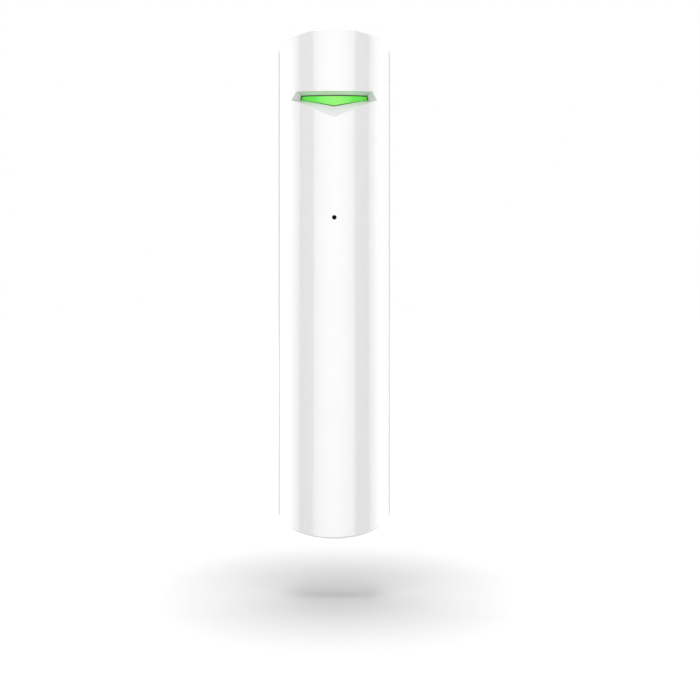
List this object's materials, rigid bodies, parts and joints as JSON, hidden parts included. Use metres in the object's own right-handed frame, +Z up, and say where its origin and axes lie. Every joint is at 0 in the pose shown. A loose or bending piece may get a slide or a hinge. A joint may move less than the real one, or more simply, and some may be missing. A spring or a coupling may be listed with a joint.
{
  "type": "glass break sensor",
  "caption": "Slim wireless glass break sensor: case with a rounded front and sloped ends, V-shaped indicator and microphone pinhole, that slides up off its wall bracket.",
  "frame": {"origin": "on the wall behind the case's axis, half way up the case", "axes": "+Z up along the case, +Y into the wall, -Y out of the rounded front, +X to the viewer's right when facing the front"},
  "size_m": [0.02, 0.021, 0.09],
  "materials": {
    "white_shell": "satin moulded white plastic",
    "green_lens": "clear green light guide",
    "white_tray": "fine matt moulded white plastic",
    "cell_sleeve": "printed film sleeve over a steel can",
    "nickel": "nickel-plated spring steel",
    "circuit_board": "green solder mask",
    "zinc_steel": "zinc-plated steel",
    "capsule_can": "drawn aluminium",
    "boot_rubber": "soft black rubber",
    "mesh_cloth": "woven acoustic mesh",
    "lamp": "diffused green lamp",
    "tin_can": "tinned steel sheet",
    "chip_black": "moulded black epoxy",
    "switch_black": "black switch housing",
    "switch_nub": "pale moulded nub",
    "dome_steel": "stainless spring sheet",
    "block_green": "green terminal moulding"
  },
  "bodies": {
    "bracket": {"mounting_bracket": "white_tray"},
    "detector": {"front_housing": "white_shell", "light_guide": "green_lens", "rear_chassis": "white_tray", "battery_cell": "cell_sleeve", "battery_contact_positive": "nickel", "battery_contact_negative": "nickel", "main_board": "circuit_board", "board_screws": "zinc_steel", "microphone_capsule": "capsule_can", "microphone_boot": "boot_rubber", "acoustic_mesh": "mesh_cloth", "indicator_led": "lamp", "radio_shield": "tin_can", "controller_chip": "chip_black", "crystal": "tin_can", "antenna": "tin_can", "chip_components": "chip_black", "tamper_switch_body": "switch_black", "power_switch_body": "switch_black", "terminal_block": "block_green", "terminal_screws": "zinc_steel", "terminal_clamps": "nickel"},
    "tamper_button": {"tamper_plunger": "switch_nub", "tamper_dome": "dome_steel"},
    "power_slide": {"power_switch_slider": "switch_nub"}
  },
  "joints": [
    {"name": "bracket_release", "type": "slide", "parent": "bracket", "child": "detector", "axis": [0, 0, 1], "range_m": [0, 0.0023]},
    {"name": "tamper_press", "type": "slide", "parent": "detector", "child": "tamper_button", "axis": [0, -1, 0], "range_m": [0, 0.0004], "stiffness_N_per_m": 400, "springref_m": -0.0005},
    {"name": "power_switch", "type": "slide", "parent": "detector", "child": "power_slide", "axis": [1, 0, 0], "range_m": [0, 0.002]}
  ]
}
